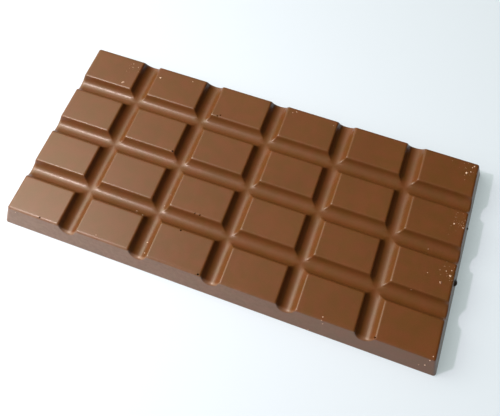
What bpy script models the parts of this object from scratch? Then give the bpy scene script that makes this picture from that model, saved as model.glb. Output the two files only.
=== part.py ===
"""A moulded bar of milk chocolate, whole and unbroken, lying on its flat back.

One solid: a low slab with leaning outer walls, whose top is divided by crossing grooves into
equal raised pieces. Metres, +Z up. The origin is on the table, under the middle of the bar.
X runs along the bar's length and Y across it.
"""

import math

import bmesh
import bpy

# Driving dimensions
COLUMNS = 6
ROWS = 4
PITCH_X = 0.0250  # from one piece to the next along the bar
PITCH_Y = 0.01865  # and across it
BASE_LENGTH = COLUMNS * PITCH_X
BASE_WIDTH = 0.0746
HEIGHT = 0.0087
END_LEAN = 0.0032  # how far an end wall leans in from base to top
SIDE_LEAN = 0.0028  # and a long wall
CORNER_RADIUS = 0.0009  # of the four upright corners
TOP_ROUNDING = 0.0006  # how far the rounding of the top's outer edge reaches to each side
BACK_ROUNDING = 0.0004  # and that of the edge round the back

GROOVE_WIDTH = 0.0067  # at the level of the tops
GROOVE_DEPTH = 0.0028
WALL_DRAFT = math.radians(24)  # groove wall from upright
LIP_RADIUS = 0.0003  # of the edges of the raised pieces

# Fineness and clearances
CORNER_STEPS = 3
EDGE_STEPS = 3
FLOOR_STEPS = 10  # even, so that a line of corners runs along the lowest point
LIP_STEPS = 2
OVERSHOOT = 0.004  # how far a cutter reaches past the bar

# Milk chocolate
COLOUR = (0.205, 0.078, 0.032, 1.0)
ROUGHNESS = 0.38


def clear_scene():
    for thing in list(bpy.data.objects):
        bpy.data.objects.remove(thing, do_unlink=True)


def new_collection(name):
    collection = bpy.data.collections.new(name)
    bpy.context.scene.collection.children.link(collection)
    return collection


def milk_chocolate():
    material = bpy.data.materials.new("milk chocolate")
    material.use_nodes = True
    shader = material.node_tree.nodes["Principled BSDF"]
    shader.inputs["Base Color"].default_value = COLOUR
    shader.inputs["Roughness"].default_value = ROUGHNESS
    shader.inputs["Metallic"].default_value = 0.0
    return material


def slab(collection):
    """A block at its real size, its top drawn in so that the walls lean, then all its edges rounded."""
    mesh = bpy.data.meshes.new("chocolate_bar")
    shape = bmesh.new()
    bmesh.ops.create_cube(shape, size=1.0)
    bmesh.ops.scale(shape, vec=(BASE_LENGTH, BASE_WIDTH, HEIGHT), verts=shape.verts)
    bmesh.ops.translate(shape, vec=(0, 0, HEIGHT / 2), verts=shape.verts)
    top = [v for v in shape.verts if v.co.z > HEIGHT / 2]
    drawn_in = (1 - 2 * END_LEAN / BASE_LENGTH, 1 - 2 * SIDE_LEAN / BASE_WIDTH, 1)
    bmesh.ops.scale(shape, vec=drawn_in, verts=top)
    upright = [e for e in shape.edges if abs(e.verts[0].co.z - e.verts[1].co.z) > HEIGHT / 2]
    bmesh.ops.bevel(
        shape, geom=upright, offset=CORNER_RADIUS, offset_type="OFFSET", segments=CORNER_STEPS,
        profile=0.5, affect="EDGES",
    )
    for height, reach in ((0, BACK_ROUNDING), (HEIGHT, TOP_ROUNDING)):
        level = [e for e in shape.edges if all(abs(v.co.z - height) < HEIGHT / 4 for v in e.verts)]
        bmesh.ops.bevel(
            shape, geom=level, offset=reach, offset_type="OFFSET", segments=EDGE_STEPS,
            profile=0.5, affect="EDGES",
        )
    shape.to_mesh(mesh)
    shape.free()
    bar = bpy.data.objects.new("chocolate_bar", mesh)
    collection.objects.link(bar)
    return bar


def arc(centre, radius, start, end, steps):
    """Points on an arc between two angles, which are anticlockwise from the first axis."""
    points = []
    for step in range(steps + 1):
        angle = start + (end - start) * step / steps
        points.append((centre[0] + radius * math.cos(angle), centre[1] + radius * math.sin(angle)))
    return points


def groove_half():
    """Half of the groove's section, from its lip down to the lowest point: (across, up from the tops)."""
    slope = math.radians(90) - WALL_DRAFT
    lip_centre = (GROOVE_WIDTH / 2, -LIP_RADIUS)
    lip = arc(lip_centre, LIP_RADIUS, math.radians(90), math.radians(90) + slope, LIP_STEPS)
    # The straight wall under the lip runs smoothly into a round floor, which sets the floor's radius.
    wall_x, wall_z = lip[-1]
    run = math.tan(slope) * wall_x
    rise = wall_z + GROOVE_DEPTH
    floor_radius = (run - rise) / (math.sin(slope) * math.tan(slope) - 1 + math.cos(slope))
    floor_centre = (0, floor_radius - GROOVE_DEPTH)
    lowest = math.radians(-90)
    return lip + arc(floor_centre, floor_radius, lowest + slope, lowest, FLOOR_STEPS // 2)


def cutter(name, length, rise, collection):
    """The groove's section, open upwards, drawn flat and made `length` thick."""
    right = groove_half()
    left = [(-x, z) for x, z in reversed(right[:-1])]
    outline = [(right[0][0], rise)] + right + left + [(left[-1][0], rise)]
    curve = bpy.data.curves.new(name, "CURVE")
    curve.dimensions = "2D"
    curve.fill_mode = "BOTH"
    curve.extrude = length / 2
    spline = curve.splines.new("POLY")
    spline.points.add(len(outline) - 1)
    for point, (x, z) in zip(spline.points, outline):
        point.co = (x, z, 0, 1)
    spline.use_cyclic_u = True
    drawn = bpy.data.objects.new(name + " outline", curve)
    collection.objects.link(drawn)
    seen = drawn.evaluated_get(bpy.context.evaluated_depsgraph_get())
    mesh = bpy.data.meshes.new_from_object(seen)
    bpy.data.objects.remove(drawn, do_unlink=True)
    bpy.data.curves.remove(curve)
    mesh.name = name
    shape = bmesh.new()
    shape.from_mesh(mesh)
    bmesh.ops.remove_doubles(shape, verts=shape.verts, dist=1e-6)
    bmesh.ops.recalc_face_normals(shape, faces=shape.faces)
    shape.to_mesh(mesh)
    shape.free()
    return mesh


def place_cutter(name, mesh, location, turn, collection):
    placed = bpy.data.objects.new(name, mesh)
    placed.location = location
    # The outline was drawn flat: it is stood up across the groove, then turned to the groove's run.
    placed.rotation_euler = (math.radians(90), 0, turn)
    placed.hide_render = True
    placed.display_type = "WIRE"
    collection.objects.link(placed)
    return placed


def grooves(collection):
    """Five grooves across the bar and three along it, all the same section and depth."""
    across = cutter("groove across", BASE_WIDTH + 2 * OVERSHOOT, OVERSHOOT, collection)
    along = cutter("groove along", BASE_LENGTH + 2 * OVERSHOOT, 2 * OVERSHOOT, collection)
    for number in range(1, COLUMNS):
        x = (number - COLUMNS / 2) * PITCH_X
        place_cutter(f"groove_across_{number}", across, (x, 0, HEIGHT), 0, collection)
    for number in range(1, ROWS):
        y = (number - ROWS / 2) * PITCH_Y
        place_cutter(f"groove_along_{number}", along, (0, y, HEIGHT), math.radians(90), collection)


def chocolate_bar():
    parts = new_collection("chocolate bar")
    cutters = new_collection("cutters")
    bar = slab(parts)
    bar.data.materials.append(milk_chocolate())
    grooves(cutters)
    cut = bar.modifiers.new("grooves", "BOOLEAN")
    cut.operation = "DIFFERENCE"
    cut.operand_type = "COLLECTION"
    cut.collection = cutters
    cut.solver = "EXACT"
    bar.data.shade_smooth()
    bar.data.set_sharp_from_angle(angle=math.radians(35))


clear_scene()
chocolate_bar()
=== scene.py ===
import math
import random

import bmesh
import bpy
from mathutils import Matrix, Quaternion, Vector


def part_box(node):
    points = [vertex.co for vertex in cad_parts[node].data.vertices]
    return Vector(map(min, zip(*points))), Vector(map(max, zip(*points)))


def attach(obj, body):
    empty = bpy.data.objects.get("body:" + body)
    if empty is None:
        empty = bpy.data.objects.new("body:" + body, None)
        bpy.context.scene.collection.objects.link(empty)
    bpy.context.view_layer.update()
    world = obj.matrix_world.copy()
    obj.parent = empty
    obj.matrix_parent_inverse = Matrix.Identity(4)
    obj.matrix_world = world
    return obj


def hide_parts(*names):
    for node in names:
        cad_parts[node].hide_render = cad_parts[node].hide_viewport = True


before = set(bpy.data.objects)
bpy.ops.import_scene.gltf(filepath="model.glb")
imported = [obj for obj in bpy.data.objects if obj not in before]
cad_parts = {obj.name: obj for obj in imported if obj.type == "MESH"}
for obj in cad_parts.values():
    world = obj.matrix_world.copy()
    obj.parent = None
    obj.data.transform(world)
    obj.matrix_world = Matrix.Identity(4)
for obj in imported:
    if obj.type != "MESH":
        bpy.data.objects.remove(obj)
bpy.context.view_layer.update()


# The moulded bar
# One casting of milk chocolate: a low slab with leaning walls, its top divided by round-bottomed grooves
# into 24 pieces. It set in a polished mould, which it copies exactly; its back was the mould's open side.
COLUMNS = 6
ROWS = 4
PITCH_X = 0.0250
PITCH_Y = 0.01865
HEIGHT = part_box("chocolate_bar")[1][2]
BASE_WIDTH = 0.0746
BASE_X = COLUMNS * PITCH_X / 2
BASE_Y = BASE_WIDTH / 2
END_LEAN = 0.0032
SIDE_LEAN = 0.0028
GROOVE_HALF = 0.00368
GROOVE_DEPTH = 0.0028
WALL_DRAFT = math.radians(24)
LIP_RADIUS = 0.0008
MITRE_RADIUS = 0.0004
MITRE_STEPS = 3
MITRES_ABOVE = 0.9  # of the groove's depth, so that the flat edges along its floor aren't rounded
LIP_STEPS = 5
FLOOR_STEPS = 9
FACES_ALONG_X = 12
FACES_ALONG_Y = 9
TINY = 0.000002


def named(name):
    """The object that was just made, under its own name."""
    piece = bpy.context.object
    piece.name = name
    piece.data.name = name
    return piece


def pick(piece, kind, wanted):
    """In edit mode, selects the faces, edges or corners for which wanted says yes, and nothing else."""
    bpy.ops.mesh.select_mode(type=kind)
    bpy.ops.mesh.select_all(action="DESELECT")
    shape = bmesh.from_edit_mesh(piece.data)
    parts = {"FACE": shape.faces, "EDGE": shape.edges, "VERT": shape.verts}[kind]
    for part in parts:
        part.select_set(wanted(part))
    shape.select_flush_mode()
    bmesh.update_edit_mesh(piece.data)


def apply_modifier(piece, kind, **settings):
    modifier = piece.modifiers.new(kind.lower(), kind)
    for name, value in settings.items():
        setattr(modifier, name, value)
    bpy.context.view_layer.objects.active = piece
    bpy.ops.object.modifier_apply(modifier=modifier.name)


def groove_rings():
    """From the groove's lowest line up to the top: each ring's step inwards and upwards."""
    slope = math.radians(90) - WALL_DRAFT
    wall_x = GROOVE_HALF - LIP_RADIUS * math.sin(slope)
    wall_z = -LIP_RADIUS * (1 - math.cos(slope))
    run = math.tan(slope) * wall_x
    rise = wall_z + GROOVE_DEPTH
    floor_radius = (run - rise) / (math.sin(slope) * math.tan(slope) - 1 + math.cos(slope))
    line = []
    for step in range(FLOOR_STEPS + 1):
        angle = slope * step / FLOOR_STEPS
        line.append((floor_radius * math.sin(angle), floor_radius * (1 - math.cos(angle)) - GROOVE_DEPTH))
    for step in range(LIP_STEPS + 1):
        angle = slope * (1 - step / LIP_STEPS)
        line.append((GROOVE_HALF - LIP_RADIUS * math.sin(angle), -LIP_RADIUS * (1 - math.cos(angle))))
    return [(b[0] - a[0], b[1] - a[1]) for a, b in zip(line, line[1:])]


# One piece and half of each groove round it: a flat face, stepped inwards and upwards ring by ring.
bpy.ops.object.select_all(action="DESELECT")
bpy.ops.mesh.primitive_plane_add(size=1)
pieces = named("pieces")
bpy.ops.object.mode_set(mode="EDIT")
bpy.ops.transform.resize(value=(PITCH_X, PITCH_Y, 1))
bpy.ops.transform.translate(
    value=(PITCH_X / 2 - BASE_X, -(ROWS - 1) * PITCH_Y / 2, HEIGHT - GROOVE_DEPTH)
)
for inwards, upwards in groove_rings():
    bpy.ops.mesh.inset(thickness=inwards, depth=upwards)
bpy.ops.mesh.inset(thickness=LIP_RADIUS / 3, depth=0)


def is_mitre(edge):
    """Slantwise edges, where two grooves' walls meet at a piece's corner, but for the lowest, flat ones."""
    run = edge.verts[0].co - edge.verts[1].co
    slantwise = abs(run.x) > TINY and abs(run.y) > TINY
    return slantwise and min(v.co.z for v in edge.verts) > HEIGHT - MITRES_ABOVE * GROOVE_DEPTH


pick(pieces, "EDGE", is_mitre)
bpy.ops.mesh.bevel(
    offset_type="OFFSET", offset=MITRE_RADIUS, segments=MITRE_STEPS, profile=0.5, clamp_overlap=False
)
pick(pieces, "EDGE", lambda e: abs(e.verts[0].co.x - e.verts[1].co.x) > PITCH_X / 2)
bpy.ops.mesh.subdivide(number_cuts=FACES_ALONG_X - 1)
pick(pieces, "EDGE", lambda e: abs(e.verts[0].co.y - e.verts[1].co.y) > PITCH_Y / 2)
bpy.ops.mesh.subdivide(number_cuts=FACES_ALONG_Y - 1)
bpy.ops.object.mode_set(mode="OBJECT")

# The pieces are laid out side by side and along; neighbours share their grooves.
for count, offset in ((COLUMNS, (PITCH_X, 0, 0)), (ROWS, (0, PITCH_Y, 0))):
    apply_modifier(
        pieces, "ARRAY", count=count, use_relative_offset=False, use_constant_offset=True,
        constant_offset_displace=offset, use_merge_vertices=True, merge_threshold=10 * TINY,
    )

# The outer half grooves go, and what is left is drawn out past the walls, so that the grooves run through.
CUT_IN = GROOVE_HALF + 0.0010
PAST_WALLS = 0.006
cuts = [
    (Vector((1, 0, 0)), BASE_X - CUT_IN),
    (Vector((-1, 0, 0)), BASE_X - CUT_IN),
    (Vector((0, 1, 0)), ROWS * PITCH_Y / 2 - CUT_IN),
    (Vector((0, -1, 0)), ROWS * PITCH_Y / 2 - CUT_IN),
]
bpy.ops.object.mode_set(mode="EDIT")
for outwards, reach in cuts:
    bpy.ops.mesh.select_all(action="SELECT")
    bpy.ops.mesh.bisect(
        plane_co=outwards * reach, plane_no=outwards, clear_outer=True, threshold=TINY / 20
    )
for outwards, reach in cuts:
    pick(pieces, "EDGE", lambda e: all(v.co.dot(outwards) > reach - TINY for v in e.verts))
    bpy.ops.mesh.extrude_region_move(TRANSFORM_OT_translate={"value": outwards * PAST_WALLS})
pick(pieces, "EDGE", lambda e: e.is_boundary)
bpy.ops.mesh.extrude_region_move(TRANSFORM_OT_translate={"value": (0, 0, -2 * HEIGHT)})
pick(pieces, "EDGE", lambda e: e.is_boundary)
bpy.ops.mesh.edge_face_add()
bpy.ops.mesh.select_all(action="SELECT")
bpy.ops.mesh.normals_make_consistent(inside=False)
bpy.ops.object.mode_set(mode="OBJECT")

# The slab that the mould's cavity gives, before the grooves: leaning walls between two outlines, whose
# corners are rounder at the back. It is drawn on past the top, which the intersection takes from the pieces.
BACK_CORNER = 0.0011
TOP_CORNER = 0.0007
CORNER_STEPS = 8
BACK_ROUNDING = 0.0004
BACK_STEPS = 4
TALLER = 1.2
bpy.ops.object.select_all(action="DESELECT")
bpy.ops.mesh.primitive_plane_add(size=1)
bar = named("moulded_bar")
bpy.ops.object.mode_set(mode="EDIT")
for level in (0, TALLER):
    if level > 0:
        bpy.ops.mesh.select_mode(type="VERT")
        bpy.ops.mesh.select_all(action="DESELECT")
        bpy.ops.mesh.primitive_plane_add(size=1)
    sides = (2 * (BASE_X - level * END_LEAN), 2 * (BASE_Y - level * SIDE_LEAN), 1)
    bpy.ops.transform.resize(value=sides)
    bpy.ops.transform.translate(value=(0, 0, level * HEIGHT))
    corner = BACK_CORNER + level * (TOP_CORNER - BACK_CORNER)
    bpy.ops.mesh.bevel(affect="VERTICES", offset=corner, segments=CORNER_STEPS, profile=0.5)
pick(bar, "EDGE", lambda e: e.is_boundary)
bpy.ops.mesh.bridge_edge_loops()
bpy.ops.mesh.select_all(action="SELECT")
bpy.ops.mesh.normals_make_consistent(inside=False)
pick(bar, "EDGE", lambda e: all(v.co.z < TINY for v in e.verts))
bpy.ops.mesh.bevel(offset_type="OFFSET", offset=BACK_ROUNDING, segments=BACK_STEPS, profile=0.5)
bpy.ops.object.mode_set(mode="OBJECT")
apply_modifier(bar, "BOOLEAN", operation="INTERSECT", object=pieces, solver="EXACT")
bpy.data.objects.remove(pieces, do_unlink=True)

# The cavity's own edge was not sharp: towards the walls the tops and the grooves turn down a little, in rings
# that follow the rim, and the rim itself is a small round edge.
RIM_RINGS = (0.00030, 0.00030, 0.00025)
RIM_DROP = 0.00030
RIM_RADIUS = 0.00018
RIM_STEPS = 3


def is_wall(face):
    """The four leaning walls and their rounded corners: the faces that reach from the back to the rim."""
    heights = [v.co.z for v in face.verts]
    return min(heights) < HEIGHT / 4 and max(heights) > HEIGHT / 2


def is_rim(edge):
    """Edges where the walls meet the tops and the ends of the grooves."""
    high = all(v.co.z > HEIGHT / 2 for v in edge.verts)
    return high and len(edge.link_faces) == 2 and is_wall(edge.link_faces[0]) != is_wall(edge.link_faces[1])


bpy.ops.object.mode_set(mode="EDIT")
bpy.ops.mesh.select_all(action="SELECT")
bpy.ops.mesh.remove_doubles(threshold=5 * TINY)
pick(bar, "FACE", lambda f: min(v.co.z for v in f.verts) > HEIGHT / 2)
for ring in RIM_RINGS:
    bpy.ops.mesh.inset(thickness=ring, depth=0)
pick(bar, "EDGE", is_rim)
bpy.ops.transform.translate(
    value=(0, 0, -RIM_DROP), use_proportional_edit=True, proportional_edit_falloff="SHARP",
    proportional_size=sum(RIM_RINGS),
)
pick(bar, "EDGE", is_rim)
bpy.ops.mesh.bevel(
    offset_type="OFFSET", offset=RIM_RADIUS, segments=RIM_STEPS, profile=0.5, clamp_overlap=False
)
bpy.ops.object.mode_set(mode="OBJECT")

# Air bubbles left pits at the edges, and knocks left nicks. Both are cut out with rough lumps. Each has its
# column and row, counted from the near left piece, and its place in millimetres from that piece's middle.
MM = 0.001
PITS = ((1, 2, 8.8, -5.8), (2, 0, -2.3, 5.7), (2, 0, 8.5, -6.1), (5, 0, -9.4, -6.0))
NICKS = ((2, 3, -6.8, -5.9), (2, 3, -5.9, -5.3), (2, 1, -0.1, -6.0), (2, 1, 1.5, -6.0), (0, 0, 2.6, -6.0))
PIT_SIZE = 0.75 * MM
NICK_SIZE = 0.70 * MM
PIT_DEEPER = 2.2
LUMP_KINDS = 5
LUMP_ROUGHNESS = 0.10
LUMP_BREAK = 0.28
LUMP_LONGER = 1.25
LUMP_NARROWER = 0.80
SHARP_OVER = math.radians(35)


def rough_lump(seed):
    """A broken lump, one metre across, as the pattern for small ones."""
    bpy.ops.object.select_all(action="DESELECT")
    bpy.ops.mesh.primitive_ico_sphere_add(subdivisions=2, radius=0.5)
    lump = named(f"lump_{seed}")
    bpy.ops.object.mode_set(mode="EDIT")
    bpy.ops.transform.vertex_random(offset=LUMP_ROUGHNESS, seed=seed)
    bpy.ops.mesh.bisect(
        plane_co=(LUMP_BREAK, 0, 0), plane_no=(1, 0.2 * seed - 0.4, 0.3), use_fill=True, clear_outer=True
    )
    bpy.ops.object.mode_set(mode="OBJECT")
    return lump


LUMPS = [rough_lump(seed) for seed in range(LUMP_KINDS)]


def on_piece(column, row, across, up):
    """A place on the bar, in metres, from a piece of it and millimetres from that piece's middle."""
    x = (column - (COLUMNS - 1) / 2) * PITCH_X + across * MM
    return x, (row - (ROWS - 1) / 2) * PITCH_Y + up * MM


def scattered(name, lying):
    """One mesh of copies of the lumps, for each its x and y, its size, and its height as a share of it."""
    bpy.context.view_layer.update()
    draw = random.Random(name)
    bpy.ops.object.select_all(action="DESELECT")
    for number, (x, y, size, flatness) in enumerate(lying):
        place, facing = bar.ray_cast(Vector((x, y, 2 * HEIGHT)), Vector((0, 0, -1)))[1:3]
        spin = Quaternion((0, 0, 1), draw.uniform(0, math.tau))
        lump = LUMPS[number % LUMP_KINDS].copy()
        lump.data = lump.data.copy()
        shape = (size * LUMP_LONGER, size * LUMP_NARROWER, size * flatness)
        lump.matrix_world = Matrix.LocRotScale(place, facing.to_track_quat("Z", "Y") @ spin, shape)
        bpy.context.collection.objects.link(lump)
        lump.select_set(True)
        bpy.context.view_layer.objects.active = lump
    bpy.ops.object.join()
    bpy.ops.object.transform_apply()
    return named(name)


cutter = scattered(
    "pits and nicks",
    [(*on_piece(*pit), PIT_SIZE, PIT_DEEPER) for pit in PITS]
    + [(*on_piece(*nick), NICK_SIZE, 1) for nick in NICKS],
)
apply_modifier(bar, "BOOLEAN", operation="DIFFERENCE", object=cutter, solver="EXACT")
bpy.data.objects.remove(cutter, do_unlink=True)
bpy.ops.object.select_all(action="DESELECT")
bar.select_set(True)
bpy.ops.object.shade_smooth_by_angle(angle=SHARP_OVER)
apply_modifier(bar, "WEIGHTED_NORMAL", weight=50, keep_sharp=True)


def colour(hex_code):
    """An sRGB colour, as written on screen, as the linear one that shaders take."""
    channels = [int(hex_code[i : i + 2], 16) / 255 for i in (1, 3, 5)]
    return tuple(c / 12.92 if c <= 0.04045 else ((c + 0.055) / 1.055) ** 2.4 for c in channels) + (1.0,)


def add_node(owner, kind, links=(), inputs=None, **settings):
    """A new node with its settings, its sockets' values, and links from other nodes' sockets to its own."""
    node = owner.node_tree.nodes.new(kind)
    for name, value in settings.items():
        setattr(node, name, value)
    for name, value in (inputs or {}).items():
        node.inputs[name].default_value = value
    for source, name in links:
        owner.node_tree.links.new(source, node.inputs[name])
    return node


# Milk chocolate that set against a polished mould: satin, not mirror bright, because its fat crystals and
# the handling dull it. The tops show soft patches, some rosier and some more olive, and a very fine grain.
# The outer walls were rubbed in the wrapper and carry a pale film of fat and dust, most on the near wall.
# The film is partly a painted reflection of the pale table beside the walls. It fades from the left end to
# the right end as painted light, brighter at the end where the lamps are.
COCOA_BUTTER_IOR = 1.46
ROSY = "#673B1E"
OLIVE = "#613C1A"
FILM_AND_PAINTED_SHEEN = "#AF9484"
# The film's share at the left and right ends: this fade is painted light, as the lamps are on the left.
FILM_AND_PAINTED_LIGHT_AT_LEFT = 0.36
FILM_AND_PAINTED_LIGHT_AT_RIGHT = 0.02
FILM_AND_SHEEN_ELSEWHERE = 0.35
FILM_AND_SHEEN_EDGE = 0.5 * MM
PATCH = 3.5 * MM
CLOUD = 12 * MM
GRAIN = 0.35 * MM
SCUFF = 1.4 * MM
PATCH_RELIEF = 0.012 * MM
GRAIN_RELIEF = 0.003 * MM
milk_chocolate = bpy.data.materials.new("moulded milk chocolate")
milk_chocolate.use_nodes = True
shader = milk_chocolate.node_tree.nodes["Principled BSDF"]
shader.inputs["IOR"].default_value = COCOA_BUTTER_IOR
where = add_node(milk_chocolate, "ShaderNodeTexCoord").outputs["Object"]
place = add_node(milk_chocolate, "ShaderNodeSeparateXYZ", [(where, 0)])
noises = []
for size, detail in ((PATCH, 2), (CLOUD, 2), (GRAIN, 3), (SCUFF, 4)):
    noise = add_node(
        milk_chocolate, "ShaderNodeTexNoise", [(where, "Vector")], {"Scale": 1 / size, "Detail": detail}
    )
    noises.append(noise.outputs["Fac"])
patches, clouds, grains, scuffs = noises
to_end = add_node(milk_chocolate, "ShaderNodeMath", [(place.outputs["X"], 0)], operation="ABSOLUTE")

# Each line takes a noise or a place from one range to another, in the order of the names that follow them.
end_top = BASE_X - END_LEAN
side_top = BASE_Y - SIDE_LEAN
ranges = []
for source, low, high, to_low, to_high in (
    (patches, 0.35, 0.65, 0, 1),
    (clouds, 0.3, 0.7, 0.95, 1.05),
    (grains, 0.3, 0.7, 0.93, 1.07),
    (scuffs, 0.3, 0.7, 0.31, 0.39),
    (scuffs, 0.3, 0.7, 0.65, 1.35),
    (to_end.outputs[0], end_top - FILM_AND_SHEEN_EDGE, end_top, 0, FILM_AND_SHEEN_ELSEWHERE),
    (place.outputs["Y"], side_top - FILM_AND_SHEEN_EDGE, side_top, 0, FILM_AND_SHEEN_ELSEWHERE),
    (place.outputs["Y"], -side_top, FILM_AND_SHEEN_EDGE - side_top, 1, 0),
    # The film fading from the left end to the right: painted light, from the lamps on the left.
    (place.outputs["X"], -BASE_X, BASE_X, FILM_AND_PAINTED_LIGHT_AT_LEFT, FILM_AND_PAINTED_LIGHT_AT_RIGHT),
):
    inputs = {"From Min": low, "From Max": high, "To Min": to_low, "To Max": to_high}
    in_range = add_node(milk_chocolate, "ShaderNodeMapRange", [(source, "Value")], inputs)
    ranges.append(in_range.outputs["Result"])
rosiness, cloud_light, grain_light, dulled, rubbed, on_end, on_far, on_near, thickness = ranges

# A colour Mix node's two colours are its inputs 6 and 7, and the mixed colour is its output 2.
body = add_node(
    milk_chocolate, "ShaderNodeMix", [(rosiness, "Factor")], data_type="RGBA",
    inputs={6: colour(OLIVE), 7: colour(ROSY)},
)
light_and_dark = add_node(
    milk_chocolate, "ShaderNodeMath", [(cloud_light, 0), (grain_light, 1)], operation="MULTIPLY"
)
grained = add_node(
    milk_chocolate, "ShaderNodeHueSaturation",
    [(body.outputs[2], "Color"), (light_and_dark.outputs[0], "Value")],
)
# The pale film on the walls: partly real fat and dust, partly a painted reflection of the pale table, with
# less of it to the right as painted light.
film_and_sheen = on_end
for other, together in (
    (on_far, "MAXIMUM"), (on_near, "MAXIMUM"), (thickness, "MULTIPLY"), (rubbed, "MULTIPLY"),
):
    joined = add_node(milk_chocolate, "ShaderNodeMath", [(film_and_sheen, 0), (other, 1)], operation=together)
    film_and_sheen = joined.outputs[0]
surface_colour = add_node(
    milk_chocolate, "ShaderNodeMix", [(film_and_sheen, "Factor"), (grained.outputs[0], 6)],
    data_type="RGBA", inputs={7: colour(FILM_AND_PAINTED_SHEEN)},
)
uneven = add_node(
    milk_chocolate, "ShaderNodeBump", [(patches, "Height")], {"Strength": 1, "Distance": PATCH_RELIEF}
)
satin = add_node(
    milk_chocolate, "ShaderNodeBump", [(grains, "Height"), (uneven.outputs[0], "Normal")],
    {"Strength": 1, "Distance": GRAIN_RELIEF},
)
milk_chocolate.node_tree.links.new(surface_colour.outputs[2], shader.inputs["Base Color"])
milk_chocolate.node_tree.links.new(dulled, shader.inputs["Roughness"])
milk_chocolate.node_tree.links.new(satin.outputs[0], shader.inputs["Normal"])
bar.data.materials.clear()
bar.data.materials.append(milk_chocolate)
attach(bar, "root")
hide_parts("chocolate_bar")


# Pale crumbs
# Crumbs of the same chocolate, which lie on the bar, mostly towards its right end. Broken and dusty, they
# scatter more light than the moulded face, and so look paler. The last number of each is its size in mm.
# Those on the tops are placed as the pits are, the others in millimetres from the bar's middle.
TOP_CRUMBS = (
    (0, 3, 5.3, -4.4, 1.1), (0, 3, 6.0, 2.9, 0.4), (0, 3, 8.0, 3.6, 0.4), (0, 3, 5.7, 4.5, 0.4),
    (0, 3, 8.8, 1.8, 0.3), (1, 3, -7.3, 2.2, 0.8), (1, 3, 4.4, 4.6, 0.4), (3, 3, -7.1, 4.5, 0.5),
    (3, 3, -5.9, 5.3, 0.4), (3, 3, 8.0, 4.3, 0.3), (5, 3, 5.6, 1.8, 0.8), (5, 3, 7.2, 4.5, 0.4),
    (5, 3, 7.8, 5.2, 0.5), (5, 3, 6.9, 2.7, 0.4), (5, 2, 5.5, 0.8, 0.6), (5, 2, 7.1, 6.8, 0.4),
    (5, 2, 8.4, 0.4, 0.5), (5, 1, 7.9, 1.8, 0.8), (5, 1, 5.4, -1.3, 0.9), (5, 1, 6.4, 2.9, 0.4),
    (5, 1, 8.0, 3.6, 0.4), (5, 1, 0.9, 0.4, 0.3),
)
OTHER_CRUMBS = (
    (-31.8, -20.3, 0.5), (-28.8, -21.5, 0.5), (-24.0, -29.2, 0.5), (-23.2, -32.9, 0.5),
    (-23.9, -15.3, 0.4), (-23.5, -11.0, 0.4), (62.5, 0.0, 0.4), (60.0, -15.8, 0.4), (-69.0, -34.8, 0.4),
    (-39.8, -33.2, 0.4), (33.9, -37.0, 0.4), (36.7, -33.4, 0.4), (36.6, -34.5, 0.4), (37.3, -35.0, 0.4),
    (70.2, -34.7, 0.5), (70.0, -35.8, 0.4), (68.4, -36.1, 0.4), (70.7, -33.4, 0.4),
)
TOP_FLATNESS = 0.38
CRUMB_FLATNESS = 0.7
CRUMB_SHADES = ("#8A6654", "#DEC1AF")
CRUMB_PATCH = 1.5 * MM
CRUMB_NOISE = (0.40, 0.60)  # the noise values that give the darker shade and the paler one
crumbs = scattered(
    "pale_crumbs",
    [(*on_piece(*crumb[:4]), crumb[4] * MM, TOP_FLATNESS) for crumb in TOP_CRUMBS]
    + [(x * MM, y * MM, size * MM, CRUMB_FLATNESS) for x, y, size in OTHER_CRUMBS],
)
broken_chocolate = bpy.data.materials.new("broken milk chocolate")
broken_chocolate.use_nodes = True
shader = broken_chocolate.node_tree.nodes["Principled BSDF"]
shader.inputs["IOR"].default_value = COCOA_BUTTER_IOR
shader.inputs["Roughness"].default_value = 0.6
where = add_node(broken_chocolate, "ShaderNodeTexCoord").outputs["Object"]
crumb_noise = add_node(
    broken_chocolate, "ShaderNodeTexNoise", [(where, "Vector")], {"Scale": 1 / CRUMB_PATCH}
)
crumb_range = add_node(
    broken_chocolate, "ShaderNodeMapRange", [(crumb_noise.outputs["Fac"], "Value")],
    {"From Min": CRUMB_NOISE[0], "From Max": CRUMB_NOISE[1]},
)
crumb_tones = add_node(
    broken_chocolate, "ShaderNodeMix", [(crumb_range.outputs["Result"], "Factor")], data_type="RGBA",
    inputs={6: colour(CRUMB_SHADES[0]), 7: colour(CRUMB_SHADES[1])},
)
broken_chocolate.node_tree.links.new(crumb_tones.outputs[2], shader.inputs["Base Color"])
crumbs.data.materials.clear()
crumbs.data.materials.append(broken_chocolate)
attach(crumbs, "root")


# Dust
# The finest crumbs, a third of a millimetre and less, in loose patches on the tops. They are too small to
# stand out and only make the chocolate under them look lighter and rougher.
DUST_PATCHES = (  # each one's middle, in millimetres, and how many specks it has
    (69.0, 11.0, 34), (68.5, 31.0, 16), (69.5, -7.0, 14), (-56.0, 30.5, 14),
)
DUST_REACH = 1.6
DUST_STOPS_X = 71.4
DUST_STOPS_Y = 34.0
DUST_SIZES = (0.14, 0.28)
DUST_FLATNESS = 0.6
DUST_SEED = 5
DUST_SHADES = ("#7E5840", "#BC967E")
DUST_TINT = 0.8 * MM
draw = random.Random(DUST_SEED)
specks = []
for middle_x, middle_y, count in DUST_PATCHES:
    for speck in range(count):
        x = min(draw.gauss(middle_x, DUST_REACH), DUST_STOPS_X)
        y = min(draw.gauss(middle_y, DUST_REACH), DUST_STOPS_Y)
        specks.append((x * MM, y * MM, draw.uniform(*DUST_SIZES) * MM, DUST_FLATNESS))
dust = scattered("chocolate_dust", specks)
dusty_chocolate = bpy.data.materials.new("milk chocolate dust")
dusty_chocolate.use_nodes = True
shader = dusty_chocolate.node_tree.nodes["Principled BSDF"]
shader.inputs["IOR"].default_value = COCOA_BUTTER_IOR
shader.inputs["Roughness"].default_value = 0.7
where = add_node(dusty_chocolate, "ShaderNodeTexCoord").outputs["Object"]
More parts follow.
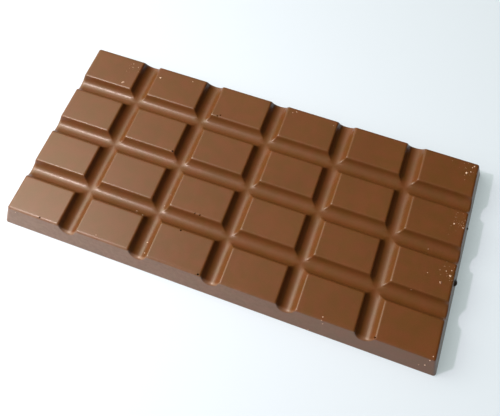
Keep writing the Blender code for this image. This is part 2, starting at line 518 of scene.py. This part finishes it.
dust_noise = add_node(dusty_chocolate, "ShaderNodeTexNoise", [(where, "Vector")], {"Scale": 1 / DUST_TINT})
dust_tones = add_node(
    dusty_chocolate, "ShaderNodeMix", [(dust_noise.outputs["Fac"], "Factor")], data_type="RGBA",
    inputs={6: colour(DUST_SHADES[0]), 7: colour(DUST_SHADES[1])},
)
dusty_chocolate.node_tree.links.new(dust_tones.outputs[2], shader.inputs["Base Color"])
dust.data.materials.clear()
dust.data.materials.append(dusty_chocolate)
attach(dust, "root")


# Dark crumbs
# Two larger scraps that cling to the right end wall. They are compact and a little greasy, and look nearly
# black against the pale table.
DARK_CRUMBS = ((73.0, -8.0, 2.5), (73.9, 12.8, 1.1))
SCRAP_SHADES = ("#1C100A", "#3A2415")
SCRAP_PATCH = 0.5 * MM
scraps = scattered(
    "dark_crumbs", [(x * MM, y * MM, size * MM, CRUMB_FLATNESS) for x, y, size in DARK_CRUMBS]
)
greasy_chocolate = bpy.data.materials.new("greasy dark chocolate scrap")
greasy_chocolate.use_nodes = True
shader = greasy_chocolate.node_tree.nodes["Principled BSDF"]
shader.inputs["IOR"].default_value = COCOA_BUTTER_IOR
shader.inputs["Roughness"].default_value = 0.45
where = add_node(greasy_chocolate, "ShaderNodeTexCoord").outputs["Object"]
scrap_noise = add_node(
    greasy_chocolate, "ShaderNodeTexNoise", [(where, "Vector")], {"Scale": 1 / SCRAP_PATCH}
)
scrap_tones = add_node(
    greasy_chocolate, "ShaderNodeMix", [(scrap_noise.outputs["Fac"], "Factor")], data_type="RGBA",
    inputs={6: colour(SCRAP_SHADES[0]), 7: colour(SCRAP_SHADES[1])},
)
greasy_chocolate.node_tree.links.new(scrap_tones.outputs[2], shader.inputs["Base Color"])
scraps.data.materials.clear()
scraps.data.materials.append(greasy_chocolate)
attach(scraps, "root")
for lump in LUMPS:
    bpy.data.objects.remove(lump, do_unlink=True)


# The table
# A plain white table to stand the bar on. Its top glows a little of itself, painted light with no lamp
# under it, so that the shadow on it stays pale.
TABLE_WIDTH = 20
TABLE_WHITE = "#B4BCD0"
TABLE_GLOW = "#E8F8FA"
GLOW_STRENGTH = 0.34
bpy.ops.object.select_all(action="DESELECT")
bpy.ops.mesh.primitive_plane_add(size=TABLE_WIDTH)
table = named("table")
white_top = bpy.data.materials.new("plain white table top")
white_top.use_nodes = True
shader = white_top.node_tree.nodes["Principled BSDF"]
shader.inputs["Base Color"].default_value = colour(TABLE_WHITE)
shader.inputs["Roughness"].default_value = 0.6
# The glow is painted light, which lifts the shade in the bar's shadow.
shader.inputs["Emission Color"].default_value = colour(TABLE_GLOW)
shader.inputs["Emission Strength"].default_value = GLOW_STRENGTH
table.data.materials.append(white_top)


# The light
# A studio lit from one side: a small key that draws the shadow, a wide panel round it, a smaller one close
# to the left end, and a room that is bright on the left and dim on the other sides.
KEY_FROM = Vector((-0.93, -0.27, 1.0))
KEY_HEIGHT = 0.30
RIGHT_END = Vector((BASE_X, 0, 0))
MIDDLE = Vector((0, 0, 0))
WARM = "#FFE8E5"
PLAIN = "#FFFEE7"
LAMPS = (  # the place each one faces, where it hangs from there, its width, its watts and its colour
    (RIGHT_END, KEY_FROM * KEY_HEIGHT, 0.018, 0.77, WARM),
    (MIDDLE, Vector((-0.340, 0.028, 0.40)), 0.40, 1.02, PLAIN),
    (MIDDLE, Vector((-0.250, -0.050, 0.20)), 0.25, 0.375, PLAIN),
)
for faced, offset, width, watts, tint in LAMPS:
    bpy.ops.object.light_add(type="AREA", location=faced + offset)
    light = bpy.context.object
    light.data.shape = "DISK"
    light.data.size = width
    light.data.energy = watts
    light.data.color = colour(tint)[:3]
    light.rotation_euler = offset.to_track_quat("Z", "Y").to_euler()

# The room's light: a wide soft patch round each of two directions, strongest on the left.
LOBES = (((-1, 0, 0.6), 1.75), ((0, -1, 0.6), 0.15))
world = bpy.data.worlds.new("studio")
bpy.context.scene.world = world
world.use_nodes = True
background = world.node_tree.nodes["Background"]
room = add_node(world, "ShaderNodeTexCoord").outputs["Generated"]
walls = []
for direction, strength in LOBES:
    towards = add_node(
        world, "ShaderNodeVectorMath", [(room, 0)], operation="DOT_PRODUCT",
        inputs={1: Vector(direction).normalized()},
    )
    ahead = add_node(
        world, "ShaderNodeMath", [(towards.outputs["Value"], 0)], operation="MAXIMUM", inputs={1: 0}
    )
    soft = add_node(world, "ShaderNodeMath", [(ahead.outputs[0], 0)], operation="POWER", inputs={1: 2})
    walls.append(add_node(
        world, "ShaderNodeMath", [(soft.outputs[0], 0)], operation="MULTIPLY", inputs={1: strength}
    ))
both = add_node(
    world, "ShaderNodeMath", [(walls[0].outputs[0], 0), (walls[1].outputs[0], 1)], operation="ADD"
)

# Low down, near the level of the table, the room is dimmer.
DIM_BELOW = 0.35
DIM_SHARE = 0.2
level = add_node(world, "ShaderNodeSeparateXYZ", [(room, 0)]).outputs["Z"]
dimmed = add_node(
    world, "ShaderNodeMapRange", [(level, "Value")],
    {"From Min": 0, "From Max": DIM_BELOW, "To Min": DIM_SHARE},
)
lit = add_node(
    world, "ShaderNodeMath", [(both.outputs[0], 0), (dimmed.outputs["Result"], 1)], operation="MULTIPLY"
)
background.inputs["Color"].default_value = colour(PLAIN)
world.node_tree.links.new(lit.outputs[0], background.inputs["Strength"])

# What the camera itself sees behind the table is a plain pale backdrop, which lights nothing.
BACKDROP = "#DFE7E9"
backdrop = add_node(world, "ShaderNodeBackground", inputs={"Color": colour(BACKDROP)})
ray = add_node(world, "ShaderNodeLightPath")
seen = add_node(
    world, "ShaderNodeMixShader",
    [(ray.outputs["Is Camera Ray"], 0), (background.outputs[0], 1), (backdrop.outputs[0], 2)],
)
world.node_tree.links.new(seen.outputs[0], world.node_tree.nodes["World Output"].inputs["Surface"])


# The camera
# Held over the near side, a little to the right, and looking down steeply, as for the photograph. Its
# place, turn and lens were fitted to the corners of the bar and of its pieces.
CAMERA_PLACE = (0.02682, -0.07057, 0.17016)
CAMERA_TURN = (22.650, 0.057, 20.006)
SENSOR_WIDTH = 36
FOCAL_LENGTH = 38.235
NEAREST_SEEN = 0.001
bpy.ops.object.camera_add(
    location=CAMERA_PLACE, rotation=[math.radians(angle) for angle in CAMERA_TURN]
)
camera = bpy.context.object
camera.data.sensor_width = SENSOR_WIDTH
camera.data.lens = FOCAL_LENGTH
camera.data.clip_start = NEAREST_SEEN
bpy.context.scene.camera = camera
bpy.context.scene.view_settings.view_transform = "Standard"
